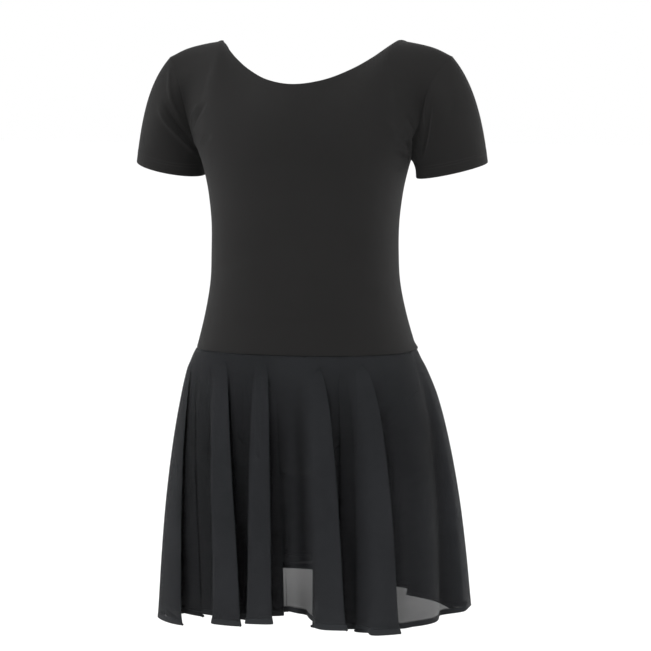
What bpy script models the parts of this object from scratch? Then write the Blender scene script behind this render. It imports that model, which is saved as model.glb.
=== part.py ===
# A child's short-sleeved ballet dress: a stretch jersey leotard with a flared chiffon skirt,
# filled out as it is worn, with no wearer in it.
# Metres, +Z up. The wearer's front is towards -Y and the wearer's left towards +X.
# The origin lies over the middle of the shoulders, at the height of the two neck points
# that carry the dress.
from collections import namedtuple
from math import ceil, cos, degrees, pi, radians, sin

import bmesh
import bpy
from mathutils import Vector

# Cloth
JERSEY_WALL = 0.0012
CHIFFON_WALL = 0.0010
SEAM_GAP = 0.0003
SLEEVE_SEAM_GAP = 0.0010
SHOULDER_SEAM_GAP = 0.0008
CROTCH_SEAM_GAP = 0.0010
BRIEF_INSET = 0.0020

# Levels, measured down from the neck points
UNDERARM_Z = -0.132
WAIST_SEAM_Z = -0.3425
BRIEF_TUCK = 0.004

# Side seams stand a little behind the widest point of the body
SIDE_ANGLE = radians(97)
# How much fuller than an ellipse a section of the body is, at its four corners
SQUARENESS = 0.045

# Columns of one half panel: those that end on the neckline and those that end on the shoulder
NECK_COLUMNS = 9
SHOULDER_COLUMNS = 5
BODICE_ROWS_BELOW_ARM = 7
BODICE_ROWS_ABOVE_ARM = 9
SLEEVE_SIDES = 24
SLEEVE_ROWS = 7
BRIEF_COLUMNS = 9
BRIEF_ROWS = 7
SKIRT_ROWS = 11
# Rows crowd towards a seam where the cloth curves most: powers of a row's share
SHOULDER_CROWDING = 1.4
WAIST_CROWDING = 1.25
# The leotard's slope at the underarm is taken over this height
SLOPE_STEP = 0.004

Section = namedtuple("Section", "place half_width centre front back")
# Sections of the leotard's body by height, from the brief up past the underarm.
# centre is the Y of the widest points, front and back the depths from there.
BODY = (
    Section(-0.4000, 0.1320, 0.0120, 0.0930, 0.0990),
    Section(-0.3700, 0.1295, 0.0115, 0.0925, 0.0975),
    Section(-0.3425, 0.1240, 0.0100, 0.0905, 0.0940),
    Section(-0.3354, 0.1218, 0.0095, 0.0895, 0.0925),
    Section(-0.3020, 0.1130, 0.0075, 0.0860, 0.0845),
    Section(-0.2680, 0.1067, 0.0060, 0.0840, 0.0790),
    Section(-0.2350, 0.1051, 0.0055, 0.0840, 0.0770),
    Section(-0.2010, 0.1052, 0.0075, 0.0875, 0.0790),
    Section(-0.1670, 0.1090, 0.0095, 0.0915, 0.0825),
    Section(-0.1450, 0.1138, 0.0105, 0.0935, 0.0845),
    Section(-0.1320, 0.1175, 0.0105, 0.0935, 0.0855),
    Section(-0.1100, 0.1240, 0.0105, 0.0920, 0.0855),
)

Point = namedtuple("Point", "x y z")
# Edges of the wearer's left half. The right half mirrors them.
FRONT_NECKLINE = (
    Point(0.0000, -0.0480, -0.0475),
    Point(0.0320, -0.0375, -0.0427),
    Point(0.0580, -0.0190, -0.0315),
    Point(0.0780, -0.0010, -0.0185),
    Point(0.0930, 0.0155, -0.0060),
    Point(0.1003, 0.0270, 0.0000),
)
BACK_NECKLINE = (
    Point(0.0000, 0.0765, -0.0840),
    Point(0.0340, 0.0715, -0.0775),
    Point(0.0630, 0.0610, -0.0600),
    Point(0.0830, 0.0490, -0.0375),
    Point(0.0950, 0.0375, -0.0150),
    Point(0.1003, 0.0270, 0.0000),
)
SHOULDER = (
    Point(0.1003, 0.0270, 0.0000),
    Point(0.1200, 0.0275, -0.0028),
    Point(0.1430, 0.0275, -0.0086),
    Point(0.1622, 0.0265, -0.0178),
)
# Armholes run from the underarm up to the shoulder tip
FRONT_ARMHOLE = (
    Point(0.1250, 0.0020, -0.1190),
    Point(0.1315, -0.0030, -0.0980),
    Point(0.1370, -0.0060, -0.0720),
    Point(0.1425, -0.0050, -0.0510),
    Point(0.1500, 0.0040, -0.0345),
    Point(0.1575, 0.0130, -0.0235),
    Point(0.1613, 0.0200, -0.0184),
    Point(0.1622, 0.0265, -0.0178),
)
BACK_ARMHOLE = (
    Point(0.1235, 0.0290, -0.1230),
    Point(0.1300, 0.0440, -0.1040),
    Point(0.1365, 0.0530, -0.0780),
    Point(0.1430, 0.0535, -0.0550),
    Point(0.1505, 0.0475, -0.0365),
    Point(0.1575, 0.0400, -0.0240),
    Point(0.1613, 0.0330, -0.0184),
    Point(0.1622, 0.0265, -0.0178),
)
# How far in from the armhole the panel still follows it, as a share of the half panel
ARMHOLE_REACH = 0.55

Rise = namedtuple("Rise", "centre neck shoulder")
# Direction in which a column of cloth arrives at the top edge of its panel
FRONT_RISE = Rise(Vector((0, 0.62, 0.78)), Vector((0, 1, 0.03)), Vector((0, 1, 0)))
BACK_RISE = Rise(Vector((0, -0.25, 0.97)), Vector((0, -1, 0.03)), Vector((0, -1, 0)))

# Cuff: the open end of a sleeve, an ellipse that tips outwards and a little forwards
CUFF_CENTRE = Vector((0.1625, 0.0270, -0.1428))
CUFF_ACROSS = Vector((0.0398, 0.0, 0.0080))
CUFF_FORWARD = Vector((0.0, -0.0385, -0.0045))
# A thread of the sleeve leaves the armhole this way and hangs down along the arm
SLEEVE_LEAVES = Vector((0.64, -0.06, -0.72))
FRONT_FULLNESS = 0.50
BACK_FULLNESS = 0.15
SLEEVE_HANGS = Vector((0.13, 0.0, -0.99))

# Lower edges of the brief, from the crotch seam round the leg to the side seam
FRONT_LEG = (
    Point(0.0190, 0.0000, -0.4860),
    Point(0.0205, -0.0340, -0.4800),
    Point(0.0360, -0.0560, -0.4620),
    Point(0.0600, -0.0660, -0.4370),
    Point(0.0860, -0.0580, -0.4130),
    Point(0.1080, -0.0340, -0.3970),
)
BACK_LEG = (
    Point(0.0190, 0.0000, -0.4860),
    Point(0.0260, 0.0440, -0.4830),
    Point(0.0450, 0.0760, -0.4690),
    Point(0.0700, 0.0890, -0.4470),
    Point(0.0950, 0.0790, -0.4200),
    Point(0.1150, 0.0540, -0.3990),
)
LEG_SIDE_Z = -0.389
# How far the brief bellies down towards its crotch, and how that fades towards the sides
BRIEF_BELLY = 0.7
BRIEF_BELLY_FADE = 0.7
# Of the brief's columns, those that end on the crotch seam
CROTCH_COLUMNS = 2

# Sections of the skirt between its folds, by share of the drop from waist seam to hem
FLARE = (
    Section(0.00, 0.1240, 0.0100, 0.0905, 0.0940),
    Section(0.03, 0.1285, 0.0090, 0.0935, 0.0980),
    Section(0.08, 0.1345, 0.0100, 0.0965, 0.1025),
    Section(0.19, 0.1422, 0.0180, 0.1040, 0.1070),
    Section(0.36, 0.1495, 0.0225, 0.1115, 0.1115),
    Section(0.57, 0.1553, 0.0250, 0.1165, 0.1150),
    Section(0.78, 0.1583, 0.0258, 0.1190, 0.1180),
    Section(1.00, 0.1597, 0.0262, 0.1205, 0.1195),
)

HemLevel = namedtuple("HemLevel", "angle z")
# Level of the hem between the folds, in degrees round from the front towards the wearer's left
HEM = (
    HemLevel(-90, -0.643),
    HemLevel(-68, -0.647),
    HemLevel(-48, -0.639),
    HemLevel(-32, -0.634),
    HemLevel(-11, -0.635),
    HemLevel(4, -0.6225),
    HemLevel(17, -0.635),
    HemLevel(27, -0.641),
    HemLevel(46, -0.6425),
    HemLevel(60, -0.640),
    HemLevel(78, -0.640),
    HemLevel(98, -0.638),
    HemLevel(125, -0.645),
    HemLevel(145, -0.645),
    HemLevel(165, -0.630),
    HemLevel(190, -0.620),
    HemLevel(201, -0.612),
    HemLevel(222, -0.624),
    HemLevel(246, -0.634),
)

Fold = namedtuple("Fold", "hem_angle seam_angle half_width height drop start")
# The skirt's hanging folds, in degrees round from the front towards the wearer's left.
# height is how far a fold stands out at the hem, drop how much lower its hem hangs,
# start the share of the drop at which it begins.
FOLDS = (
    Fold(-93, -93, 10, 0.012, 0.002, 0.10),
    Fold(-67, -69, 15, 0.018, 0.005, 0.20),
    Fold(-20, -33, 7, 0.026, 0.000, 0.06),
    Fold(-7, -13.5, 6, 0.024, 0.001, 0.06),
    Fold(18.5, 15, 8, 0.028, 0.003, 0.08),
    Fold(36, 36, 10, 0.030, 0.001, 0.08),
    Fold(62, 61, 13, 0.012, 0.000, 0.12),
    Fold(92, 92, 15, 0.025, 0.000, 0.00),
    Fold(117, 116, 9, 0.022, 0.002, 0.08),
    Fold(136, 135, 9, 0.026, 0.004, 0.07),
    Fold(155, 154, 8, 0.024, 0.003, 0.10),
    Fold(173, 173, 8, 0.027, 0.005, 0.07),
    Fold(191, 192, 8, 0.024, 0.004, 0.09),
    Fold(211, 212, 9, 0.027, 0.006, 0.07),
    Fold(230, 231, 8, 0.022, 0.003, 0.10),
    Fold(248, 248, 8, 0.018, 0.002, 0.10),
)
# Folds grow down the skirt as this power of the share of their length
FOLD_GROWTH = 0.85
# A fold leans from its seam angle to its hem angle as this power of what is left of the drop
LEAN_FADE = 1.5
# Columns that shape one fold, by half widths, and the limits of a step between any two
FOLD_SAMPLES = (-1.0, -0.82, -0.62, -0.34, 0.0, 0.34, 0.62, 0.82, 1.0)
LEAST_STEP = 0.6
WIDEST_STEP = 7.0

Colour = namedtuple("Colour", "name rgb roughness")
BLACK_JERSEY = Colour("black_jersey", (0.019, 0.018, 0.018), 0.85)
BLACK_CHIFFON = Colour("black_chiffon", (0.017, 0.018, 0.021), 0.70)


def smooth_value(places, values, at):
    """The height at one place of a smooth curve through values at rising places."""
    last = len(places) - 1
    i = max(j for j in range(last) if j == 0 or places[j] <= at)

    def slope(j):
        before, after = max(j - 1, 0), min(j + 1, last)
        return (values[after] - values[before]) / (places[after] - places[before])

    span = places[i + 1] - places[i]
    t = min(1.0, max(0.0, (at - places[i]) / span))
    return (
        values[i] * (1 + 2 * t) * (1 - t) ** 2
        + slope(i) * span * t * (1 - t) ** 2
        + values[i + 1] * t * t * (3 - 2 * t)
        + slope(i + 1) * span * t * t * (t - 1)
    )


def smooth_row(table, at):
    """A row of a table at a place between its rows. The first column holds the places."""
    places = [row[0] for row in table]
    columns = [smooth_value(places, [row[c] for row in table], at) for c in range(1, len(table[0]))]
    return type(table[0])(at, *columns)


def along(points, share):
    """The point at a share of the length of a smooth line through points."""
    places = [0.0]
    for before, after in zip(points, points[1:]):
        places.append(places[-1] + (Vector(after) - Vector(before)).length)
    at = share * places[-1]
    return Vector([smooth_value(places, [p[c] for p in points], at) for c in range(3)])


def thread(start, start_pull, end, end_pull, t):
    """A point on the smooth thread that leaves start along one pull and arrives at end along another."""
    return (
        start * ((1 + 2 * t) * (1 - t) ** 2)
        + start_pull * (t * (1 - t) ** 2)
        + end * (t * t * (3 - 2 * t))
        + end_pull * (t * t * (t - 1))
    )


def mirrored(point, side):
    """The point as it is on the wearer's left (side 1) or reflected to the right (side -1)."""
    return Vector((point.x * side, point.y, point.z))


def section_point(section, angle, z, inset=0.0):
    """A point of a section at height z, at an angle from the front centre towards the wearer's left."""
    full = 1 + SQUARENESS * sin(2 * angle) ** 2
    depth = section.front if cos(angle) > 0 else section.back
    across = (section.half_width - inset) * sin(angle) * full
    back = section.centre - (depth - inset) * cos(angle) * full
    return Vector((across, back, z))


def body_point(angle, z, inset=0.0):
    """A point of the leotard's outer face at height z, or a little inside it."""
    return section_point(smooth_row(BODY, z), angle, z, inset)


def cloth(name, grid, wall, colour, closed=False):
    """A cloth solid: a grid of rows of points on its outer face, given its wall towards the inside."""
    work = bmesh.new()
    rows = [[work.verts.new(point) for point in row] for row in grid]
    for low, high in zip(rows, rows[1:]):
        count = len(low)
        for c in range(count if closed else count - 1):
            n = (c + 1) % count
            work.faces.new((low[c], low[n], high[n], high[c]))
    mesh = bpy.data.meshes.new(name)
    work.to_mesh(mesh)
    work.free()
    mesh.shade_smooth()
    piece = bpy.data.objects.new(name, mesh)
    bpy.context.scene.collection.objects.link(piece)
    solidify = piece.modifiers.new("Wall", "SOLIDIFY")
    solidify.thickness = wall
    solidify.offset = -1.0
    solidify.use_rim = True
    material = bpy.data.materials.get(colour.name) or bpy.data.materials.new(colour.name)
    material.use_nodes = True
    shader = material.node_tree.nodes["Principled BSDF"]
    shader.inputs["Base Color"].default_value = (*colour.rgb, 1.0)
    shader.inputs["Roughness"].default_value = colour.roughness
    shader.inputs["Metallic"].default_value = 0.0
    piece.data.materials.append(material)
    return piece


def armhole_point(points, share):
    """A point of one half of the armhole, from the side seam at 0 to the shoulder tip at 1."""
    underarm = body_point(SIDE_ANGLE, UNDERARM_Z)
    return along((Point(*underarm), *points), share)


def neckline_point(neckline, share):
    """A point of a neckline, one curve through both halves: share is 0 at the centre, 1 at the end."""
    other_half = [Point(-p.x, p.y, p.z) for p in neckline[:0:-1]]
    return along((*other_half, *neckline), (1 + share) / 2)


def top_edge(u, neckline, back_step):
    """Where a bodice column ends: on the neckline near the centre, on the shoulder line beyond it."""
    share = abs(u) * (NECK_COLUMNS + SHOULDER_COLUMNS)
    if share <= NECK_COLUMNS:
        end = neckline_point(neckline, share / NECK_COLUMNS)
    else:
        end = along(SHOULDER, (share - NECK_COLUMNS) / SHOULDER_COLUMNS)
    end.y += back_step
    return mirrored(end, 1 if u >= 0 else -1)


def rise_direction(u, rise):
    """The way in which a bodice column arrives at its top edge."""
    share = abs(u) * (NECK_COLUMNS + SHOULDER_COLUMNS)
    if share <= NECK_COLUMNS:
        return rise.centre.lerp(rise.neck, (share / NECK_COLUMNS) ** 2).normalized()
    return rise.neck.lerp(rise.shoulder, (share - NECK_COLUMNS) / SHOULDER_COLUMNS).normalized()


def bodice_column(angle, u, neckline, rise, back_step, v):
    """A point of a bodice panel above the underarm: v is 0 there and 1 at the top edge."""
    start = body_point(angle, UNDERARM_Z)
    up = body_point(angle, UNDERARM_Z + SLOPE_STEP) - start
    end = top_edge(u, neckline, back_step)
    reach = (end - start).length
    return thread(start, up.normalized() * reach, end, rise_direction(u, rise) * reach, v)


def seam_turn(wall, step, section):
    """How far short of the side seam a panel stops, so that two walls that lean inwards stay apart."""
    lean = step * section.half_width / section.front
    return (SEAM_GAP / 2 + wall * sin(lean)) / section.front


def bodice_panel(name, neckline, armhole, rise, front):
    """Front or back of the leotard above the waist seam, cut in one piece."""
    half = NECK_COLUMNS + SHOULDER_COLUMNS
    widest = SIDE_ANGLE if front else pi - SIDE_ANGLE
    widest -= seam_turn(JERSEY_WALL, widest / half, smooth_row(BODY, WAIST_SEAM_Z))
    back_step = -SHOULDER_SEAM_GAP / 2 if front else SHOULDER_SEAM_GAP / 2
    columns = [c / half for c in range(-half, half + 1)]

    def column_angle(u):
        return u * widest if front else pi - u * widest

    grid = []
    low, high = WAIST_SEAM_Z + SEAM_GAP / 2, UNDERARM_Z
    for r in range(BODICE_ROWS_BELOW_ARM):
        z = low + (high - low) * r / BODICE_ROWS_BELOW_ARM
        grid.append([body_point(column_angle(u), z) for u in columns])
    for r in range(BODICE_ROWS_ABOVE_ARM + 1):
        v = 1 - (1 - r / BODICE_ROWS_ABOVE_ARM) ** SHOULDER_CROWDING
        edge = armhole_point(armhole, v)
        edge.y += back_step
        free_edge = bodice_column(column_angle(1), 1, neckline, rise, back_step, v)
        pull = edge - free_edge
        row = []
        for u in columns:
            point = bodice_column(column_angle(u), u, neckline, rise, back_step, v)
            near = max(0.0, (abs(u) - 1 + ARMHOLE_REACH) / ARMHOLE_REACH) ** 2
            row.append(point + mirrored(pull * near, 1 if u >= 0 else -1))
        grid.append(row)
    if not front:
        grid = [row[::-1] for row in grid]
    return cloth(name, grid, JERSEY_WALL, BLACK_JERSEY)


def sleeve_thread(turn, t):
    """A point of the left sleeve: turn goes round from the shoulder tip by the front, t to the cuff."""
    if turn <= 0.5:
        start = armhole_point(FRONT_ARMHOLE, 1 - 2 * turn)
    else:
        start = armhole_point(BACK_ARMHOLE, 2 * turn - 1)
    round_arm = 2 * pi * turn
    end = CUFF_CENTRE + CUFF_ACROSS * cos(round_arm) + CUFF_FORWARD * sin(round_arm)
    fullness = FRONT_FULLNESS if turn < 0.5 else BACK_FULLNESS
    outwards = Vector((0.0, -sin(round_arm), 0.0))
    leaves = (SLEEVE_LEAVES + outwards * fullness).normalized()
    start += leaves * SLEEVE_SEAM_GAP
    reach = (end - start).length
    return thread(start, leaves * reach, end, SLEEVE_HANGS * reach, t)


def sleeve(name, side):
    """One short set-in sleeve, a tube from the armhole to the cuff."""
    grid = []
    for r in range(SLEEVE_ROWS + 1):
        turns = [c / SLEEVE_SIDES for c in range(SLEEVE_SIDES)]
        row = [mirrored(sleeve_thread(turn, r / SLEEVE_ROWS), side) for turn in turns]
        grid.append(row[::-1] if side > 0 else row)
    return cloth(name, grid, JERSEY_WALL, BLACK_JERSEY, closed=True)


def brief_panel(name, leg, front):
    """Front or back of the brief, from the waist seam down to the legs and the crotch seam."""
    half = BRIEF_COLUMNS
    widest = SIDE_ANGLE if front else pi - SIDE_ANGLE
    widest -= seam_turn(JERSEY_WALL, widest / half, smooth_row(BODY, LEG_SIDE_Z))
    side_end = body_point(widest if front else pi - widest, LEG_SIDE_Z, BRIEF_INSET)
    edge = (*leg, Point(*side_end))
    under = Vector((0, 1 if front else -1, 0))
    grid = []
    for r in range(BRIEF_ROWS + 1):
        t = r / BRIEF_ROWS
        row = []
        for c in range(-half, half + 1):
            u = c / half
            side = 1 if c >= 0 else -1
            angle = u * widest if front else pi - u * widest
            start = body_point(angle, WAIST_SEAM_Z + BRIEF_TUCK, BRIEF_INSET)
            if abs(c) <= CROTCH_COLUMNS:
                end = Vector((leg[0].x * abs(c) / CROTCH_COLUMNS, leg[0].y, leg[0].z))
            else:
                end = along(edge, (abs(c) - CROTCH_COLUMNS) / (half - CROTCH_COLUMNS))
            end = mirrored(end, side)
            if abs(c) <= CROTCH_COLUMNS:
                end -= under * (CROTCH_SEAM_GAP / 2)
            reach = (end - start).length
            inner = max(0.0, 1 - abs(u)) ** BRIEF_BELLY_FADE
            down = Vector((0, 0, -1)) * reach * (1 + BRIEF_BELLY * inner)
            arrive = (under * inner + Vector((0, 0, -1)) * (1 - inner)).normalized() * reach
            row.append(thread(start, down, end, arrive, t))
        grid.append(row)
    if front:
        grid = [row[::-1] for row in grid]
    return cloth(name, grid, JERSEY_WALL, BLACK_JERSEY)


def fold_profile(x):
    """Height of a fold across its half width: round on top, steep at the sides."""
    return (1 - x**4) ** 2 if abs(x) < 1 else 0.0


def turned(angle):
    """An angle brought to within half a turn of the front, in degrees."""
    return (angle + 180) % 360 - 180


def ring_value(ring, angle):
    """The smooth value at an angle between (angle, value) pairs that go once round."""
    ring = [(ring[-1][0] - 360, ring[-1][1]), *ring, (ring[0][0] + 360, ring[0][1])]
    at = angle if angle >= ring[0][0] else angle + 360
    return smooth_value([a for a, _ in ring], [v for _, v in ring], at)


def skirt_point(hem_angle, share):
    """A point of the skirt's outer face: share is 0 at the waist seam and 1 at the hem."""
    leans = [(fold.hem_angle, fold.seam_angle - fold.hem_angle) for fold in FOLDS]
    angle = radians(hem_angle + ring_value(leans, hem_angle) * (1 - share) ** LEAN_FADE)
    section = smooth_row(FLARE, share)
    top = WAIST_SEAM_Z - SEAM_GAP / 2
    hem = ring_value(HEM, hem_angle)
    stands_out = 0.0
    for fold in FOLDS:
        profile = fold_profile(turned(hem_angle - fold.hem_angle) / fold.half_width)
        grown = max(0.0, (share - fold.start) / (1 - fold.start))
        stands_out += fold.height * profile * grown**FOLD_GROWTH
        hem -= fold.drop * profile
    point = section_point(section, angle, top + (hem - top) * share)
    middle = Vector((0, section.centre, point.z))
    return point + (point - middle).normalized() * stands_out


def skirt_angles(first, last):
    """Hem angles of a panel's columns: close together on the folds, wider between them."""
    inside = {first, last}
    for fold in FOLDS:
        for x in FOLD_SAMPLES:
            angle = fold.hem_angle + x * fold.half_width
            for whole in (angle - 360, angle, angle + 360):
                if first + LEAST_STEP < whole < last - LEAST_STEP:
                    inside.add(round(whole, 3))
    angles = [first]
    for angle in sorted(inside)[1:]:
        if angle < last and angle - angles[-1] < LEAST_STEP:
            continue
        steps = ceil((angle - angles[-1]) / WIDEST_STEP)
        start = angles[-1]
        angles += [start + (angle - start) * s / steps for s in range(1, steps + 1)]
    return angles


def skirt_panel(name, first, last):
    """Front or back of the chiffon skirt, between two hem angles in degrees."""
    gap = degrees(seam_turn(CHIFFON_WALL, radians(WIDEST_STEP), FLARE[0]))
    angles = skirt_angles(first + gap, last - gap)
    shares = [(r / SKIRT_ROWS) ** WAIST_CROWDING for r in range(SKIRT_ROWS + 1)]
    grid = [[skirt_point(angle, share) for angle in angles[::-1]] for share in shares]
    return cloth(name, grid, CHIFFON_WALL, BLACK_CHIFFON)


def main():
    for old in list(bpy.data.objects):
        bpy.data.objects.remove(old)
    side = degrees(SIDE_ANGLE)
    bodice_panel("bodice_front", FRONT_NECKLINE, FRONT_ARMHOLE, FRONT_RISE, front=True)
    bodice_panel("bodice_back", BACK_NECKLINE, BACK_ARMHOLE, BACK_RISE, front=False)
    sleeve("sleeve_left", 1)
    sleeve("sleeve_right", -1)
    brief_panel("brief_front", FRONT_LEG, front=True)
    brief_panel("brief_back", BACK_LEG, front=False)
    skirt_panel("skirt_front", -side, side)
    skirt_panel("skirt_back", side, 360 - side)


main()
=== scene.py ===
from math import cos, pi, radians, sin

import bpy
import numpy as np
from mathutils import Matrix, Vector


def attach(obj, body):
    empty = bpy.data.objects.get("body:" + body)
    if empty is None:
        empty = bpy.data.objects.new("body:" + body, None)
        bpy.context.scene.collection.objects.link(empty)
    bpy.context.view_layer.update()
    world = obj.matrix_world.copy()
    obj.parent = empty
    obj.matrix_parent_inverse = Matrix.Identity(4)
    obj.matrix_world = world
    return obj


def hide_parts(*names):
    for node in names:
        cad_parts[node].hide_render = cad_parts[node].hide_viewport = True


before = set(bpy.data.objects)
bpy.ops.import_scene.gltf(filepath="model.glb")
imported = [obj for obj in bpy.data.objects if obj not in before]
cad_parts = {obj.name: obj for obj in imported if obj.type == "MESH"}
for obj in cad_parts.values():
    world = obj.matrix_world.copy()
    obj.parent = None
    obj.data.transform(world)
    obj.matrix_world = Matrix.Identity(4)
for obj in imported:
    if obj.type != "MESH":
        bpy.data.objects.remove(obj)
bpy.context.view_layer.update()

# A child's black ballet dress, filled out as worn: a jersey leotard with a sheer chiffon skirt.
# Every sheet is a grid of points on the cloth's outer face, with a thin wall given inwards.
# Left and right are the wearer's: left is towards +X, and the front is towards -Y.
bpy.ops.object.select_all(action="DESELECT")

studio = {
    "azimuth": 14.0,  # the camera stands a little to the wearer's left
    "elevation": 5.7,
    "distance": 2.9,
    "seenWidth": 0.729,  # metres across the picture at the dress
    "targetRight": 0.024,
    "targetHeight": -0.3173,
    "floorHeight": -1.02,  # where a child of this size stands
    "floorSize": 60.0,
    "white": (0.95, 0.95, 0.95, 1.0),
    "floorGlow": 0.08,  # lifts the paper floor to the backdrop's white
}


def newObject(name, mesh):
    made = bpy.data.objects.new(name, mesh)
    bpy.context.scene.collection.objects.link(made)
    return made


def placeCamera():
    azimuth, elevation = radians(studio["azimuth"]), radians(studio["elevation"])
    back = Vector((sin(azimuth) * cos(elevation), -cos(azimuth) * cos(elevation), sin(elevation)))
    right = Vector((cos(azimuth), sin(azimuth), 0))
    target = right * studio["targetRight"] + Vector((0, 0, studio["targetHeight"]))
    bpy.ops.object.camera_add(location=target + back * studio["distance"])
    camera = bpy.context.object
    camera.rotation_euler = (-back).to_track_quat("-Z", "Y").to_euler()
    camera.data.lens = camera.data.sensor_width * studio["distance"] / studio["seenWidth"]
    bpy.context.scene.camera = camera


def lightStudio():
    world = bpy.data.worlds.new("whiteStudio")
    world.use_nodes = True
    world.node_tree.nodes["Background"].inputs["Color"].default_value = (1, 1, 1, 1)
    world.node_tree.nodes["Background"].inputs["Strength"].default_value = 1.0
    bpy.context.scene.world = world
    softBoxes = [  # name, place, size, watts
        ("keyLight", (-1.6, -2.2, 1.1), 1.6, 26),
        ("topLight", (0.2, -0.2, 2.4), 1.8, 14),
        ("rightLight", (2.4, -1.2, 0.2), 1.4, 8),
    ]
    for name, place, size, watts in softBoxes:
        bpy.ops.object.light_add(type="AREA", location=place)
        lamp = bpy.context.object
        lamp.name = name
        lamp.data.size = size
        lamp.data.energy = watts
        toDress = Vector((0, 0, studio["targetHeight"])) - Vector(place)
        lamp.rotation_euler = toDress.to_track_quat("-Z", "Y").to_euler()
    bpy.ops.mesh.primitive_plane_add(size=studio["floorSize"], location=(0, 0, studio["floorHeight"]))
    floor = bpy.context.object
    floor.name = "floor"
    paper = bpy.data.materials.new("palePaper")
    paper.use_nodes = True
    shader = paper.node_tree.nodes["Principled BSDF"]
    shader.inputs["Base Color"].default_value = studio["white"]
    shader.inputs["Roughness"].default_value = 0.9
    shader.inputs["Emission Color"].default_value = studio["white"]
    shader.inputs["Emission Strength"].default_value = studio["floorGlow"]
    floor.data.materials.append(paper)
    bpy.context.scene.view_settings.view_transform = "Standard"


placeCamera()
lightStudio()
print("stage: camera and lights placed")

# Materials

def newGroup(name, inputs, outputs):
    group = bpy.data.node_groups.new(name, "ShaderNodeTree")
    for socketName, socketType, value in inputs:
        socket = group.interface.new_socket(name=socketName, in_out="INPUT", socket_type=socketType)
        if value is not None:
            socket.default_value = value
    for socketName, socketType in outputs:
        group.interface.new_socket(name=socketName, in_out="OUTPUT", socket_type=socketType)
    return group, group.nodes.new("NodeGroupInput"), group.nodes.new("NodeGroupOutput")


def mathNode(tree, operation, first, second=None, clamp=False):
    node = tree.nodes.new("ShaderNodeMath")
    node.operation = operation
    node.use_clamp = clamp
    for socket, value in zip(node.inputs, (first, second)):
        if value is None:
            continue
        if isinstance(value, (int, float)):
            socket.default_value = value
        else:
            tree.links.new(value, socket)
    return node.outputs[0]


def buildKnitGroup():
    # Fine V-shaped loops in columns, from a UV map in metres. Shade is a painted shade: the colour is darker in the
    # low parts of the loops and lighter on their tops.
    floatType, vectorType = "NodeSocketFloat", "NodeSocketVector"
    group, inside, outside = newGroup(
        "jerseyKnit",
        [("Cloth", vectorType, None), ("Wales", floatType, 1100.0), ("Courses", floatType, 1400.0)],
        [("Height", floatType), ("Shade", floatType)],
    )
    split = group.nodes.new("ShaderNodeSeparateXYZ")
    group.links.new(inside.outputs["Cloth"], split.inputs[0])
    across = mathNode(group, "MULTIPLY", split.outputs[0], inside.outputs["Wales"])
    up = mathNode(group, "MULTIPLY", split.outputs[1], inside.outputs["Courses"])
    inColumn = mathNode(group, "FRACT", across)
    fromMiddle = mathNode(group, "ABSOLUTE", mathNode(group, "SUBTRACT", inColumn, 0.5))
    slant = mathNode(group, "ADD", up, mathNode(group, "MULTIPLY", fromMiddle, 1.6))
    loop = mathNode(group, "SINE", mathNode(group, "MULTIPLY", slant, 2 * pi))
    column = mathNode(group, "SINE", mathNode(group, "MULTIPLY", fromMiddle, 2 * pi))
    height = mathNode(group, "ADD", mathNode(group, "MULTIPLY", loop, 0.35), column)
    group.links.new(height, outside.inputs["Height"])
    # Painted shade: the colour follows the loops' height, darker where they sink
    shade = mathNode(group, "ADD", mathNode(group, "MULTIPLY", height, 0.08), 1.0)
    group.links.new(shade, outside.inputs["Shade"])
    return group


def buildWeaveGroup():
    # Crossed fine threads, from a UV map in metres
    floatType, vectorType = "NodeSocketFloat", "NodeSocketVector"
    group, inside, outside = newGroup(
        "chiffonWeave",
        [("Cloth", vectorType, None), ("Threads", floatType, 1600.0)],
        [("Height", floatType), ("Cover", floatType)],
    )
    split = group.nodes.new("ShaderNodeSeparateXYZ")
    group.links.new(inside.outputs["Cloth"], split.inputs[0])
    waves = []
    for axis in (0, 1):
        turns = mathNode(group, "MULTIPLY", split.outputs[axis], inside.outputs["Threads"])
        waves.append(mathNode(group, "SINE", mathNode(group, "MULTIPLY", turns, 2 * pi)))
    thread = mathNode(group, "MAXIMUM", waves[0], waves[1])
    group.links.new(thread, outside.inputs["Height"])
    group.links.new(thread, outside.inputs["Cover"])
    return group


def buildLintGroup():
    # Slow patches of wear and tiny specks that break up an even black
    floatType, vectorType = "NodeSocketFloat", "NodeSocketVector"
    group, inside, outside = newGroup(
        "softUnevenness",
        [("Place", vectorType, None), ("Patches", floatType, 9.0), ("Strength", floatType, 0.12)],
        [("Shade", floatType), ("Grain", floatType)],
    )
    patches = group.nodes.new("ShaderNodeTexNoise")
    patches.inputs["Detail"].default_value = 3.0
    grain = group.nodes.new("ShaderNodeTexNoise")
    grain.inputs["Scale"].default_value = 420.0
    grain.inputs["Detail"].default_value = 2.0
    group.links.new(inside.outputs["Place"], patches.inputs["Vector"])
    group.links.new(inside.outputs["Patches"], patches.inputs["Scale"])
    group.links.new(inside.outputs["Place"], grain.inputs["Vector"])
    centred = mathNode(group, "SUBTRACT", patches.outputs[0], 0.5)
    spread = mathNode(group, "MULTIPLY", centred, mathNode(group, "MULTIPLY", inside.outputs["Strength"], 4.0))
    group.links.new(mathNode(group, "ADD", spread, 1.0), outside.inputs["Shade"])
    group.links.new(grain.outputs[0], outside.inputs["Grain"])
    return group


knitGroup, weaveGroup, lintGroup = buildKnitGroup(), buildWeaveGroup(), buildLintGroup()

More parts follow.
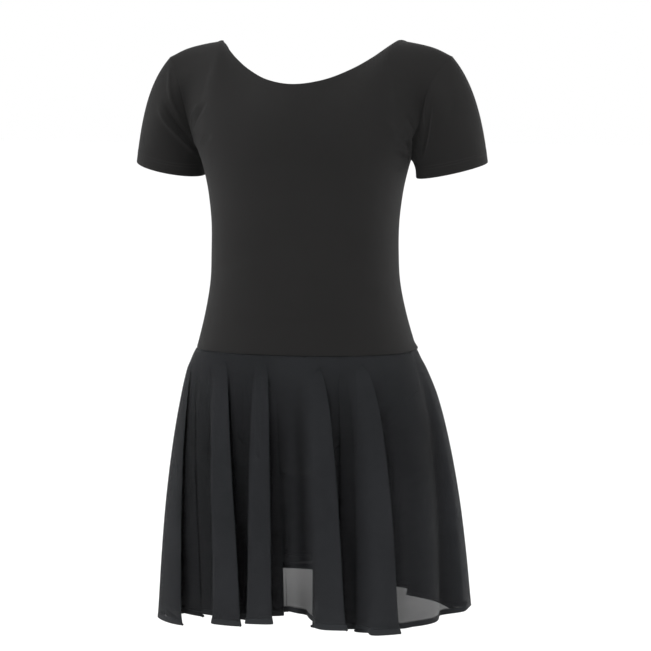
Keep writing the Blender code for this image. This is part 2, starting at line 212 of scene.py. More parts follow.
jersey = {
    "colour": (0.0086, 0.0082, 0.0080),
    "roughness": 0.82,
    "specular": 0.20,
    "sheen": 0.055,
    "sheenRoughness": 0.35,
    "relief": 0.00012,
}
chiffon = {
    "colour": (0.0180, 0.0192, 0.0212),
    "roughness": 0.75,
    "specular": 0.12,
    "sheen": 0.035,
    "sheenRoughness": 0.4,
    "cover": 0.66,  # of one face of the shell: a whole layer lets about 12% of the light through
    "coverWave": 0.05,
    "coverPatches": 0.55,
    "relief": 0.00005,
}


def placeGroup(tree, group, **values):
    node = tree.nodes.new("ShaderNodeGroup")
    node.node_tree = group
    for socketName, value in values.items():
        if isinstance(value, (int, float)):
            node.inputs[socketName].default_value = value
        else:
            tree.links.new(value, node.inputs[socketName])
    return node


def tintedBy(tree, colour, *shades):
    node = tree.nodes.new("ShaderNodeMix")
    node.data_type = "RGBA"
    node.blend_type = "MULTIPLY"
    node.inputs["Factor"].default_value = 1.0
    node.inputs["A"].default_value = (*colour, 1.0)
    shade = shades[0]
    for other in shades[1:]:
        shade = mathNode(tree, "MULTIPLY", shade, other)
    tree.links.new(shade, node.inputs["B"])
    return node.outputs["Result"]


def bumpFrom(tree, height, distance):
    node = tree.nodes.new("ShaderNodeBump")
    node.inputs["Strength"].default_value = 1.0
    node.inputs["Distance"].default_value = distance
    tree.links.new(height, node.inputs["Height"])
    return node.outputs["Normal"]


def clothShader(name, look):
    material = bpy.data.materials.new(name)
    material.use_nodes = True
    tree = material.node_tree
    shader = tree.nodes["Principled BSDF"]
    shader.inputs["Roughness"].default_value = look["roughness"]
    shader.inputs["Specular IOR Level"].default_value = look["specular"]
    shader.inputs["Sheen Weight"].default_value = look["sheen"]
    shader.inputs["Sheen Roughness"].default_value = look["sheenRoughness"]
    return material, tree, shader


def jerseyMaterial():
    material, tree, shader = clothShader("blackJersey", jersey)
    place = tree.nodes.new("ShaderNodeTexCoord")
    knit = placeGroup(tree, knitGroup, Cloth=place.outputs["UV"])
    lint = placeGroup(tree, lintGroup, Place=place.outputs["Object"])
    # The knit's Shade is painted shade between the loops; the lint's Shade is patches of wear
    colour = tintedBy(tree, jersey["colour"], knit.outputs["Shade"], lint.outputs["Shade"])
    tree.links.new(colour, shader.inputs["Base Color"])
    height = mathNode(tree, "ADD", knit.outputs["Height"], lint.outputs["Grain"])
    tree.links.new(bumpFrom(tree, height, jersey["relief"]), shader.inputs["Normal"])
    return material


def chiffonMaterial():
    material, tree, shader = clothShader("blackChiffon", chiffon)
    place = tree.nodes.new("ShaderNodeTexCoord")
    weave = placeGroup(tree, weaveGroup, Cloth=place.outputs["UV"])
    lint = placeGroup(tree, lintGroup, Place=place.outputs["Object"], Patches=14.0)
    # The fold attribute is painted shade: it darkens the colour deep in the valleys between the folds
    folds = tree.nodes.new("ShaderNodeAttribute")
    folds.attribute_name = "paintedFoldShade"
    colour = tintedBy(tree, chiffon["colour"], lint.outputs["Shade"], folds.outputs["Fac"])
    tree.links.new(colour, shader.inputs["Base Color"])
    edge = tree.nodes.new("ShaderNodeAttribute")
    edge.attribute_name = "hemThread"
    cover = mathNode(tree, "ADD", mathNode(tree, "MULTIPLY", weave.outputs["Cover"], chiffon["coverWave"]),
                     chiffon["cover"])
    patches = mathNode(tree, "SUBTRACT", lint.outputs["Shade"], 1.0)
    cover = mathNode(tree, "ADD", cover, mathNode(tree, "MULTIPLY", patches, chiffon["coverPatches"]))
    cover = mathNode(tree, "ADD", cover, edge.outputs["Fac"], clamp=True)
    tree.links.new(cover, shader.inputs["Alpha"])
    tree.links.new(bumpFrom(tree, weave.outputs["Height"], chiffon["relief"]), shader.inputs["Normal"])
    return material


def threadMaterial():
    material, _, shader = clothShader("blackThread", threadLook)
    shader.inputs["Base Color"].default_value = (*threadLook["colour"], 1.0)
    return material


threadLook = {
    "colour": (0.0120, 0.0116, 0.0114),
    "roughness": 0.55,
    "specular": 0.25,
    "sheen": 0.0,
    "sheenRoughness": 0.3,
}
blackJersey, blackChiffon, blackThread = jerseyMaterial(), chiffonMaterial(), threadMaterial()
print("stage: materials made")

# Curves and grids

seamGap = -0.00025  # below zero, so two edges sewn together press into each other
creaseFade = 0.004

def smoothAt(table, at):
    # Values of a smooth curve through a table's rows. Its first column holds the places.
    table, at = np.asarray(table, float), np.asarray(at, float)
    places, values = table[:, 0], table[:, 1:]
    last = len(places) - 1
    before, after = np.maximum(np.arange(last + 1) - 1, 0), np.minimum(np.arange(last + 1) + 1, last)
    slopes = (values[after] - values[before]) / (places[after] - places[before])[:, None]
    i = np.clip(np.searchsorted(places, at, side="right") - 1, 0, last - 1)
    span = places[i + 1] - places[i]
    t = np.clip((at - places[i]) / span, 0, 1)[..., None]
    span = span[..., None]
    return (values[i] * (1 + 2 * t) * (1 - t) ** 2 + slopes[i] * span * t * (1 - t) ** 2
            + values[i + 1] * t * t * (3 - 2 * t) + slopes[i + 1] * span * t * t * (t - 1))


def along(points, share):
    # Points at shares of the length of a smooth line
    points = np.asarray(points, float)
    places = np.concatenate([[0.0], np.cumsum(np.linalg.norm(np.diff(points, axis=0), axis=1))])
    return smoothAt(np.column_stack([places / places[-1], points]), share)


def thread(start, startPull, end, endPull, t):
    t = np.asarray(t, float)[..., None]
    return (start * ((1 + 2 * t) * (1 - t) ** 2) + startPull * (t * (1 - t) ** 2)
            + end * (t * t * (3 - 2 * t)) + endPull * (t * t * (t - 1)))


def unit(vectors):
    return vectors / np.maximum(np.linalg.norm(vectors, axis=-1, keepdims=True), 1e-9)


def lengths(vectors):
    return np.linalg.norm(vectors, axis=-1)


def onSide(points, side):
    # Points of the wearer's left half, or mirrored where side is -1
    return points * np.stack([side, np.ones_like(side), np.ones_like(side)], axis=-1)


def gridNormals(grid, ring=False):
    if ring:
        around = np.roll(grid, -1, axis=1) - np.roll(grid, 1, axis=1)
    else:
        around = np.gradient(grid, axis=1)
    return unit(np.cross(around, np.gradient(grid, axis=0)))


def smoothed(grid, rounds, ring=False):
    # Evens out kinks inside a grid. Its edges stay.
    grid = grid.copy()
    for _ in range(rounds):
        mean = grid.copy()
        if ring:
            mean[1:-1] = (grid[:-2] + grid[2:] + np.roll(grid, 1, 1)[1:-1] + np.roll(grid, -1, 1)[1:-1]) / 4
        else:
            mean[1:-1, 1:-1] = (grid[:-2, 1:-1] + grid[2:, 1:-1] + grid[1:-1, :-2] + grid[1:-1, 2:]) / 4
        grid = (grid + mean) / 2
    return grid


def edgeRun(grid):
    # Distances down each column from its first row
    return np.concatenate([np.zeros((1, grid.shape[1])), np.cumsum(lengths(np.diff(grid, axis=0)), axis=0)])


def readColumns(values, run, places):
    # Values in each column at distances down it
    found = np.empty((len(places),) + values.shape[1:])
    for c in range(values.shape[1]):
        for k in range(values.shape[2]):
            found[:, c, k] = np.interp(places[:, c], run[:, c], values[:, c, k])
    return found


def turnEdge(grid, normals, arc, radius, tail, steps=5, lies=True):
    # Rolls the last row of a grid inwards over an arc in degrees. A folded edge then lies back
    # along the cloth's own inner side for the length of its tail.
    columns = grid.shape[1]
    arc = np.radians(np.broadcast_to(arc, columns))[:, None]
    radius, tail = np.broadcast_to(radius, columns), np.broadcast_to(tail, columns)
    run = edgeRun(grid)
    whole = run[-1]
    rows = list(readColumns(grid, run, run * (whole - radius - seamGap) / whole))
    base, lift = rows[-1], radius[:, None]
    outwards = unit(grid[-1] - base)
    normal = unit(normals[-1] - outwards * (normals[-1] * outwards).sum(axis=1)[:, None])
    for step in range(1, steps + 1):
        angle = arc * step / steps
        rows.append(base + outwards * lift * np.sin(angle) - normal * lift * (1 - np.cos(angle)))
    end = rows[-1]
    lying = np.clip((np.degrees(arc) - 100) / 70, 0, 1) if lies else 0.0
    for share in (1 / 3, 2 / 3, 1):
        straight = end + (outwards * np.cos(arc) - normal * np.sin(arc)) * (tail * share)[:, None]
        place = (whole - radius - tail * share)[None, :]
        under = readColumns(grid, run, place)[0] - 2 * lift * unit(readColumns(normals, run, place)[0])
        rows.append(straight * (1 - lying) + under * lying)
    return np.array(rows)


def turnColumns(grid, atEnd, **how):
    turned = grid if atEnd else grid[:, ::-1]
    normals = gridNormals(grid) if atEnd else gridNormals(grid)[:, ::-1]
    turned = turnEdge(turned.transpose(1, 0, 2), normals.transpose(1, 0, 2), **how).transpose(1, 0, 2)
    return turned if atEnd else turned[:, ::-1]


def turnRows(grid, atEnd, ring=False, **how):
    normals = gridNormals(grid, ring)
    if atEnd:
        return turnEdge(grid, normals, **how)
    return turnEdge(grid[::-1], normals[::-1], **how)[::-1]


def fadeAtEnds(count, over, least):
    # 1 along an edge, falling to the least at its two ends, so that two turned edges meet cleanly
    place = np.arange(count)
    return np.clip(np.minimum(place, count - 1 - place) / over, least, 1)


def armholeFade(grid, ring):
    # 0 on an armhole seam and 1 a little way off, so that both of its edges keep their place
    if ring:
        room = edgeRun(grid)
    else:
        across = edgeRun(grid.transpose(1, 0, 2)).T
        room = np.minimum(across, across[:, -1:] - across)
        room = np.where(grid[..., 2] > body["underarm"] - creaseFade, room, creaseFade)
    return np.clip(room / creaseFade, 0, 1)


def creased(grid, creases, ring=False):
    # Presses each crease into the grid, or raises it: points of its line, width, depth
    height = np.zeros(grid.shape[:2])
    every = grid.reshape(-1, 3)
    for line, width, depth in creases:
        onCloth = []
        for point in np.array(line):
            nearest = every[lengths(every - point).argmin()]
            onCloth.append(nearest if np.linalg.norm(nearest - point) < 0.008 else point)
        samples = along(onCloth, np.linspace(0, 1, 25))
        gaps = lengths(grid[:, :, None, :] - samples)
        nearest = gaps.argmin(axis=2) / 24
        taper = np.sin(pi * np.clip(nearest, 0.02, 0.98)) ** 0.7
        height += depth * np.exp(-((gaps.min(axis=2) / width) ** 2)) * taper
    return grid + gridNormals(grid, ring) * (height * armholeFade(grid, ring))[..., None]


def makeSheet(name, grid, wall, material, node, ring=False, hemRows=0, shade=None):
    rows, columns = grid.shape[:2]
    faces = []
    for r in range(rows - 1):
        for c in range(columns if ring else columns - 1):
            n = (c + 1) % columns
            faces.append((r * columns + c, r * columns + n, (r + 1) * columns + n, (r + 1) * columns + c))
    mesh = bpy.data.meshes.new(name)
    mesh.from_pydata(grid.reshape(-1, 3).tolist(), [], faces)
    closed = np.concatenate([grid, grid[:, :1]], axis=1) if ring else grid
    across = np.cumsum(lengths(np.diff(closed, axis=1)).mean(axis=0))
    down = np.concatenate([[0.0], np.cumsum(lengths(np.diff(grid, axis=0)).mean(axis=1))])
    across = np.concatenate([[0.0], across])
    uvMap = mesh.uv_layers.new(name="UVMap")
    corners = []
    for r in range(rows - 1):
        for c in range(columns if ring else columns - 1):
            corners += [across[c], down[r], across[c + 1], down[r], across[c + 1], down[r + 1], across[c], down[r + 1]]
    uvMap.data.foreach_set("uv", corners)
    if hemRows:
        hem = mesh.attributes.new("hemThread", "FLOAT", "POINT")
        dense = np.zeros((rows, columns), np.float32)
        dense[-hemRows:] = 1.0
        hem.data.foreach_set("value", dense.reshape(-1))
    # Painted shade of the skirt's valleys, kept on each point for the material
    if shade is not None:
        mesh.attributes.new("paintedFoldShade", "FLOAT", "POINT").data.foreach_set("value", shade.reshape(-1))
    mesh.materials.append(material)
    sheet = newObject(name, mesh)
    bpy.context.view_layer.objects.active = sheet
    sheet.select_set(True)
    thickness = sheet.modifiers.new("thickness", "SOLIDIFY")
    thickness.thickness = wall
    thickness.offset = -1.0
    thickness.use_rim = True
    bpy.ops.object.modifier_apply(modifier=thickness.name)
    bpy.ops.object.shade_smooth_by_angle(angle=radians(60))
    sheet.select_set(False)
    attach(sheet, "root")
    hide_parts(node)
    print("piece:", name, len(sheet.data.polygons), "faces")
    return sheet


stitch = {
    "length": 0.0021,
    "pitch": 0.0029,
    "halfWidth": 0.00026,
    "halfHeight": 0.00024,  # half of a stitch is sunk in the cloth
}
bpy.ops.mesh.primitive_uv_sphere_add(segments=8, ring_count=6, radius=1)
oneStitch = bpy.context.object
oneStitch.name = "oneStitch"
stitchSize = np.array([stitch["halfWidth"], stitch["halfHeight"], stitch["length"] / 2])
stitchCorners = np.array([corner.co for corner in oneStitch.data.vertices]) * stitchSize
stitchFaces = np.array([[*face.vertices, face.vertices[0]][:4] for face in oneStitch.data.polygons])
stitchSides = [len(face.vertices) for face in oneStitch.data.polygons]
bpy.data.objects.remove(oneStitch)


def stitchLine(line, normals):
    # Where each stitch of a row stands: its middle, and the ways across, out and along
    run = np.concatenate([[0.0], np.cumsum(lengths(np.diff(line, axis=0)))])
    middles = np.arange(stitch["pitch"], run[-1] - stitch["pitch"] / 2, stitch["pitch"])

    def read(values, places):
        return np.stack([np.interp(places, run, values[:, k]) for k in range(3)], axis=-1)

    half = stitch["length"] / 2
    ahead = unit(read(line, middles + half) - read(line, middles - half))
    out = read(normals, middles)
    out = unit(out - ahead * (out * ahead).sum(axis=1)[:, None])
    return read(line, middles), np.cross(ahead, out), out, ahead


def stitchedRows(name, rows):
    # Copies the one stitch along every row, joined in one mesh
    middle, across, out, ahead = (np.concatenate(part) for part in zip(*[stitchLine(*row) for row in rows]))
    placed = (middle[:, None] + stitchCorners[:, :1] * across[:, None] + stitchCorners[:, 1:2] * out[:, None]
              + stitchCorners[:, 2:] * ahead[:, None])
    faces = []
    for first in range(0, len(middle) * len(stitchCorners), len(stitchCorners)):
        faces += [(face[:sides] + first).tolist() for face, sides in zip(stitchFaces, stitchSides)]
    mesh = bpy.data.meshes.new(name)
    mesh.from_pydata(placed.reshape(-1, 3).tolist(), [], faces)
    mesh.materials.append(blackThread)
    mesh.shade_smooth()
    made = newObject(name, mesh)
    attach(made, "root")
    print("piece:", name, len(middle), "stitches")
    return made


def rowBeside(grid, curve, distance, ring=False):
    # The line on a grid that keeps its distance from an edge, met from each column's first row
    normals = gridNormals(grid, ring)
    gaps = np.min([lengths(grid - point) for point in curve], axis=0)
    line, ways = [], []
    for c in range(grid.shape[1]):
        r = int((gaps[:, c] <= distance).argmax())
        if r == 0:
            continue
        share = (gaps[r - 1, c] - distance) / (gaps[r - 1, c] - gaps[r, c])
        line.append(grid[r - 1, c] + (grid[r, c] - grid[r - 1, c]) * share)
        ways.append(normals[r, c])
    return np.array(line), np.array(ways)


# Sizes shared by the leotard's pieces. Heights are below the neck points.
body = {
    "underarm": -0.132,
    "waistSeam": -0.3425,
    "sideAngle": radians(97),
    "squareness": 0.045,
    "sections": [  # height, half width, centre, front depth, back depth
        (-0.4000, 0.1320, 0.0120, 0.0930, 0.0990),
        (-0.3700, 0.1295, 0.0115, 0.0925, 0.0975),
        (-0.3425, 0.1240, 0.0100, 0.0905, 0.0940),
        (-0.3354, 0.1218, 0.0095, 0.0895, 0.0925),
        (-0.3020, 0.1130, 0.0075, 0.0860, 0.0845),
        (-0.2680, 0.1067, 0.0060, 0.0840, 0.0790),
        (-0.2350, 0.1051, 0.0055, 0.0840, 0.0770),
        (-0.2010, 0.1052, 0.0075, 0.0875, 0.0790),
        (-0.1670, 0.1090, 0.0095, 0.0915, 0.0825),
        (-0.1450, 0.1138, 0.0105, 0.0935, 0.0845),
        (-0.1320, 0.1175, 0.0105, 0.0935, 0.0855),
        (-0.1100, 0.1240, 0.0105, 0.0920, 0.0855),
    ],
}


def sectionPoint(section, angle, height, inset=0.0):
    halfWidth, centre, front, back = (section[..., k] for k in range(4))
    full = 1 + body["squareness"] * np.sin(2 * angle) ** 2
    depth = np.where(np.cos(angle) > 0, front, back)
    across = (halfWidth - inset) * np.sin(angle) * full
    backwards = centre - (depth - inset) * np.cos(angle) * full
    return np.stack(np.broadcast_arrays(across, backwards, height), axis=-1)


def bodyPoint(angle, height, inset=0.0):
    angle, height = np.broadcast_arrays(np.asarray(angle, float), np.asarray(height, float))
    return sectionPoint(smoothAt(body["sections"], height), angle, height, inset)


bodice = {
    "columns": 168,
    "rowsBelowArm": 76,
    "rowsAboveArm": 66,
    "wall": 0.0005,
    "neckStitches": (0.0052, 0.0082),  # two rows, by their distance from the edge
    "neckShare": 9 / 14,  # of a half panel's columns, those that end on the neckline
    "armholeReach": 0.55,
    "shoulderCrowding": 1.4,
    "foldRadius": 0.0009,
    "seamRadius": 0.0006,
    "neckHem": 0.009,
    "seamAllowance": 0.002,
    "frontNeckline": [(0, -0.048, -0.0475), (0.032, -0.0375, -0.0427), (0.058, -0.019, -0.0315),
                      (0.078, -0.001, -0.0185), (0.093, 0.0155, -0.006), (0.1003, 0.027, 0)],
    "backNeckline": [(0, 0.0765, -0.084), (0.034, 0.0715, -0.0775), (0.063, 0.061, -0.06),
                     (0.083, 0.049, -0.0375), (0.095, 0.0375, -0.015), (0.1003, 0.027, 0)],
    "shoulder": [(0.1003, 0.027, 0), (0.12, 0.0275, -0.0028), (0.143, 0.0275, -0.0086),
                 (0.1622, 0.0265, -0.0178)],
    "frontArmhole": [(0.125, 0.002, -0.119), (0.1315, -0.003, -0.098), (0.137, -0.006, -0.072),
                     (0.1425, -0.005, -0.051), (0.15, 0.004, -0.0345), (0.1575, 0.013, -0.0235),
                     (0.1613, 0.02, -0.0184), (0.1622, 0.0265, -0.0178)],
    "backArmhole": [(0.1235, 0.029, -0.123), (0.13, 0.044, -0.104), (0.1365, 0.053, -0.078),
                    (0.143, 0.0535, -0.055), (0.1505, 0.0475, -0.0365), (0.1575, 0.04, -0.024),
                    (0.1613, 0.033, -0.0184), (0.1622, 0.0265, -0.0178)],
    "frontRise": [(0, 0.62, 0.78), (0, 1, 0.03), (0, 1, 0)],  # at the centre, neck and shoulder
    "backRise": [(0, -0.25, 0.97), (0, -1, 0.03), (0, -1, 0)],
    "frontCreases": [  # points of a line, width, and how far it is raised or, below zero, pressed in
        ([(-0.102, -0.036, -0.070), (-0.114, -0.028, -0.082), (-0.121, -0.020, -0.095)], 0.0028, -0.0027),
        ([(-0.109, -0.030, -0.069), (-0.122, -0.019, -0.080), (-0.128, -0.008, -0.095)], 0.0024, 0.0020),
        ([(-0.091, -0.054, -0.104), (-0.101, -0.046, -0.110), (-0.110, -0.036, -0.114)], 0.0042, -0.0022),
        ([(0.120, 0.012, -0.128), (0.126, 0.000, -0.115), (0.128, -0.004, -0.106), (0.133, -0.004, -0.091)],
         0.0027, -0.0042),
        ([(0.119, -0.020, -0.113), (0.121, -0.013, -0.115), (0.123, -0.006, -0.117)], 0.0023, -0.0020),
        ([(0.125, -0.013, -0.102), (0.126, -0.008, -0.107), (0.127, -0.003, -0.111)], 0.0022, -0.0018),
        ([(0.122, 0.000, -0.121), (0.118, -0.013, -0.112), (0.112, -0.028, -0.104)], 0.0022, -0.0026),
        ([(0.120, 0.004, -0.128), (0.115, -0.012, -0.124), (0.107, -0.032, -0.121)], 0.0022, -0.0024),
        ([(0.121, -0.004, -0.124), (0.116, -0.016, -0.118), (0.110, -0.028, -0.113)], 0.0020, 0.0018),
        ([(0.127, -0.008, -0.100), (0.125, -0.014, -0.090), (0.121, -0.024, -0.080)], 0.0024, -0.0018),
        ([(0.113, 0.010, -0.131), (0.120, -0.004, -0.121), (0.124, -0.012, -0.110)], 0.0024, 0.0018),
        ([(0.108, -0.035, -0.118), (0.116, -0.024, -0.121), (0.121, -0.010, -0.125)], 0.0030, -0.0016),
        ([(-0.124, -0.004, -0.118), (-0.121, -0.012, -0.108), (-0.117, -0.022, -0.101)], 0.0024, 0.0018),
        ([(0.104, -0.052, -0.088), (0.113, -0.038, -0.098), (0.118, -0.026, -0.104)], 0.0060, 0.0014),
        ([(-0.060, -0.078, -0.300), (-0.005, -0.081, -0.307), (0.052, -0.079, -0.303)], 0.0090, -0.0011),
        ([(0.030, -0.076, -0.262), (0.068, -0.066, -0.270), (0.094, -0.038, -0.281)], 0.0100, -0.0012),
        ([(-0.040, -0.076, -0.236), (-0.074, -0.061, -0.246), (-0.096, -0.030, -0.258)], 0.0110, -0.0013),
        ([(0.118, -0.015, -0.3425), (0.124, 0.021, -0.3425), (0.116, 0.052, -0.3425)], 0.0042, 0.0024),
        ([(0.0985, 0.0265, 0.000), (0.1045, 0.0270, -0.001), (0.111, 0.0272, -0.002)], 0.0040, 0.0014),
        ([(-0.0975, 0.0255, 0.000), (-0.1015, 0.0268, 0.000), (-0.106, 0.0272, -0.001)], 0.0036, 0.0012),
    ],
    "backCreases": [
        ([(0.042, 0.084, -0.214), (0.004, 0.086, -0.222), (-0.045, 0.083, -0.213)], 0.0080, -0.0012),
        ([(0.062, 0.077, -0.244), (0.012, 0.085, -0.253), (-0.038, 0.083, -0.247)], 0.0095, -0.0011),
        ([(-0.071, 0.075, -0.231), (-0.027, 0.084, -0.238), (0.014, 0.086, -0.234)], 0.0070, 0.0010),
        ([(0.030, 0.089, -0.186), (-0.012, 0.090, -0.191), (-0.040, 0.088, -0.187)], 0.0090, -0.0009),
        ([(0.100, 0.050, -0.110), (0.112, 0.038, -0.122), (0.117, 0.025, -0.130)], 0.0038, -0.0026),
        ([(-0.098, 0.052, -0.106), (-0.110, 0.040, -0.119), (-0.116, 0.026, -0.129)], 0.0042, -0.0024),
        ([(0.085, 0.062, -0.085), (0.105, 0.055, -0.090), (0.122, 0.047, -0.100)], 0.0042, 0.0017),
        ([(-0.088, 0.064, -0.078), (-0.108, 0.056, -0.084), (-0.124, 0.048, -0.092)], 0.0048, 0.0018),
        ([(0.118, -0.015, -0.3425), (0.124, 0.021, -0.3425), (0.116, 0.052, -0.3425)], 0.0042, 0.0024),
    ],
}


def armholePoint(points, share):
    underarm = bodyPoint(body["sideAngle"], body["underarm"])
    return along([underarm, *np.asarray(points, float)], share)


def topEdge(u, neckline):
    # The neckline is one smooth curve through both halves
    half = np.array(neckline, float)
    whole = np.concatenate([half[:0:-1] * np.array([-1, 1, 1]), half])
    onNeck = along(whole, 0.5 + 0.5 * np.clip(u / bodice["neckShare"], -1, 1))
    pastNeck = (np.abs(u) - bodice["neckShare"]) / (1 - bodice["neckShare"])
    onShoulder = onSide(along(bodice["shoulder"], np.clip(pastNeck, 0, 1)), np.where(u >= 0, 1.0, -1.0))
    return np.where((pastNeck <= 0)[:, None], onNeck, onShoulder)


def riseDirection(u, rise):
    centre, neck, shoulder = (np.array(r, float) for r in rise)
    share = np.clip(np.abs(u) / bodice["neckShare"], 0, 1)[:, None] ** 2
    pastNeck = np.clip((np.abs(u) - bodice["neckShare"]) / (1 - bodice["neckShare"]), 0, 1)[:, None]
    nearNeck = unit(centre + (neck - centre) * share)
    beyond = unit(neck + (shoulder - neck) * pastNeck)
    return np.where(share < 1, nearNeck, beyond)


def bodiceGrid(neckline, armhole, rise, front):
    halfColumns = bodice["columns"] // 2
    u = np.arange(-halfColumns, halfColumns + 1) / halfColumns
    side = np.where(u >= 0, 1.0, -1.0)
    widest = body["sideAngle"] if front else pi - body["sideAngle"]
    angles = u * widest if front else pi - u * widest
    low = np.linspace(body["waistSeam"], body["underarm"], bodice["rowsBelowArm"] + 1)[:-1]
    below = bodyPoint(angles[None, :], low[:, None])
    start = bodyPoint(angles, body["underarm"])
    upwards = unit(bodyPoint(angles, body["underarm"] + 0.004) - start)
    end = topEdge(u, neckline)
    reach = lengths(end - start)[:, None]
    v = 1 - (1 - np.arange(bodice["rowsAboveArm"] + 1) / bodice["rowsAboveArm"]) ** bodice["shoulderCrowding"]
    above = thread(start, upwards * reach, end, riseDirection(u, rise) * reach, v[:, None] + 0 * u)
    pull = armholePoint(armhole, v) - above[:, -1]
    near = np.clip((np.abs(u) - 1 + bodice["armholeReach"]) / bodice["armholeReach"], 0, 1) ** 2
    above = above + onSide(pull[:, None, :] * near[None, :, None], np.broadcast_to(side, above.shape[:2]))
    grid = np.concatenate([below, above])
    if not front:
        grid = grid[:, ::-1]
    return smoothed(grid, 6), u


def bodicePanel(name, node, neckline, armhole, rise, creases, front):
    grid, u = bodiceGrid(neckline, armhole, rise, front)
    grid = creased(grid, creases)
    fade = fadeAtEnds(len(grid), 6, 0.15)
    seam = {"arc": 90, "radius": bodice["seamRadius"] * fade, "tail": bodice["seamAllowance"] * fade}
    edge = topEdge(np.linspace(-bodice["neckShare"], bodice["neckShare"], 90), neckline)
    stitchedRows(name + "NeckStitches", [rowBeside(grid, edge, away) for away in bodice["neckStitches"]])
    grid = turnColumns(grid, True, **seam)
    grid = turnColumns(grid, False, **seam)
    added = (grid.shape[1] - len(u)) // 2
    across = np.abs(np.concatenate([np.full(added, -1.0), u, np.full(added, 1.0)]))
    fade = np.where(across < 1, np.clip((1 - across) * (len(u) // 2) / 4, 0.15, 1), 0.15)
    grid = turnRows(grid, False, arc=175, radius=bodice["foldRadius"] * fade, tail=0.004 * fade)
    neck = 1 / (1 + np.exp((across - bodice["neckShare"]) * 160))  # 1 on the neckline, 0 on the shoulder
    radius = bodice["seamRadius"] + (bodice["foldRadius"] - bodice["seamRadius"]) * neck
    tail = bodice["seamAllowance"] + (bodice["neckHem"] - bodice["seamAllowance"]) * neck
    grid = turnRows(grid, True, arc=90 + 88 * neck, radius=radius * fade, tail=tail * fade)
    return makeSheet(name, grid, bodice["wall"], blackJersey, node)


bodiceFront = bodicePanel("bodiceFront", "bodice_front", bodice["frontNeckline"], bodice["frontArmhole"],
                          bodice["frontRise"], bodice["frontCreases"], front=True)
bodiceBack = bodicePanel("bodiceBack", "bodice_back", bodice["backNeckline"], bodice["backArmhole"],
                         bodice["backRise"], bodice["backCreases"], front=False)

sleeve = {
    "columns": 190,
    "rows": 74,
    "wall": 0.0005,
    "cuffCentre": (0.1625, 0.027, -0.1428),
    "cuffAcross": (0.0398, 0, 0.008),
    "cuffForward": (0, -0.0385, -0.0045),
    "leaves": (0.64, -0.06, -0.72),
    "frontFullness": 0.50,
    "backFullness": 0.15,
    "hangs": (0.13, 0, -0.99),
    "hem": 0.014,
    "cuffStitches": (0.0102, 0.0132),
    "leftCreases": [
        ([(0.136, -0.005, -0.128), (0.142, -0.010, -0.102), (0.148, -0.011, -0.069)], 0.0025, -0.0024),
        ([(0.141, -0.006, -0.055), (0.140, -0.008, -0.075), (0.139, -0.009, -0.096)], 0.0022, 0.0018),
        ([(0.172, -0.002, -0.060), (0.168, -0.010, -0.080), (0.160, -0.013, -0.099)], 0.0060, -0.0012),
        ([(0.145, 0.058, -0.070), (0.157, 0.063, -0.090), (0.172, 0.062, -0.108)], 0.0044, -0.0022),
        ([(0.150, 0.055, -0.050), (0.165, 0.060, -0.068), (0.182, 0.057, -0.088)], 0.0055, 0.0018),
        ([(0.137, 0.050, -0.096), (0.146, 0.060, -0.112), (0.158, 0.064, -0.126)], 0.0040, -0.0018),
    ],
    "rightCreases": [
        ([(-0.160, 0.011, -0.029), (-0.151, -0.011, -0.065), (-0.140, -0.009, -0.089)], 0.0024, 0.0025),
        ([(-0.165, -0.010, -0.076), (-0.158, -0.014, -0.088), (-0.146, -0.012, -0.103),
          (-0.134, -0.005, -0.117), (-0.126, 0.005, -0.128)], 0.0026, 0.0037),
        ([(-0.159, -0.010, -0.068), (-0.151, -0.013, -0.083), (-0.140, -0.009, -0.099),
          (-0.129, -0.002, -0.112)], 0.0026, -0.0033),
        ([(-0.146, 0.058, -0.075), (-0.158, 0.063, -0.096), (-0.170, 0.062, -0.118)], 0.0044, -0.0024),
        ([(-0.149, 0.056, -0.055), (-0.163, 0.060, -0.075), (-0.178, 0.058, -0.098)], 0.0055, 0.0016),
        ([(-0.136, 0.049, -0.099), (-0.144, 0.058, -0.115), (-0.155, 0.063, -0.129)], 0.0042, -0.0020),
    ],
}


def sleeveGrid(side):
    turn = np.arange(sleeve["columns"]) / sleeve["columns"]
    onFront = turn <= 0.5
    start = np.where(onFront[:, None], armholePoint(bodice["frontArmhole"], np.clip(1 - 2 * turn, 0, 1)),
                     armholePoint(bodice["backArmhole"], np.clip(2 * turn - 1, 0, 1)))
    roundArm = 2 * pi * turn[:, None]
    end = (np.array(sleeve["cuffCentre"]) + np.array(sleeve["cuffAcross"]) * np.cos(roundArm)
           + np.array(sleeve["cuffForward"]) * np.sin(roundArm))
    fullness = np.where(turn < 0.5, sleeve["frontFullness"], sleeve["backFullness"])[:, None]
    leaves = unit(np.array(sleeve["leaves"]) + np.array([0, -1.0, 0]) * np.sin(roundArm) * fullness)
    reach = lengths(end - start)[:, None]
    t = np.arange(sleeve["rows"] + 1) / sleeve["rows"]
    grid = thread(start, leaves * reach, end, np.array(sleeve["hangs"]) * reach, t[:, None] + 0 * turn)
    grid = grid * np.array([side, 1, 1])
    if side < 0:
        grid = grid[:, ::-1]
    return smoothed(grid, 3, ring=True)


def sleeveTube(name, node, side, creases):
    grid = creased(sleeveGrid(side), creases, ring=True)
    rows = [rowBeside(grid, grid[-1], away, ring=True) for away in sleeve["cuffStitches"]]
    closed = [(np.concatenate([line, line[:1]]), np.concatenate([ways, ways[:1]])) for line, ways in rows]
    stitchedRows(name + "CuffStitches", closed)
    grid = turnRows(grid, False, ring=True, arc=90, radius=bodice["seamRadius"], tail=bodice["seamAllowance"])
    grid = turnRows(grid, True, ring=True, arc=178, radius=bodice["foldRadius"], tail=sleeve["hem"])
    return makeSheet(name, grid, sleeve["wall"], blackJersey, node, ring=True)


sleeveLeft = sleeveTube("sleeveLeft", "sleeve_left", 1, sleeve["leftCreases"])
sleeveRight = sleeveTube("sleeveRight", "sleeve_right", -1, sleeve["rightCreases"])

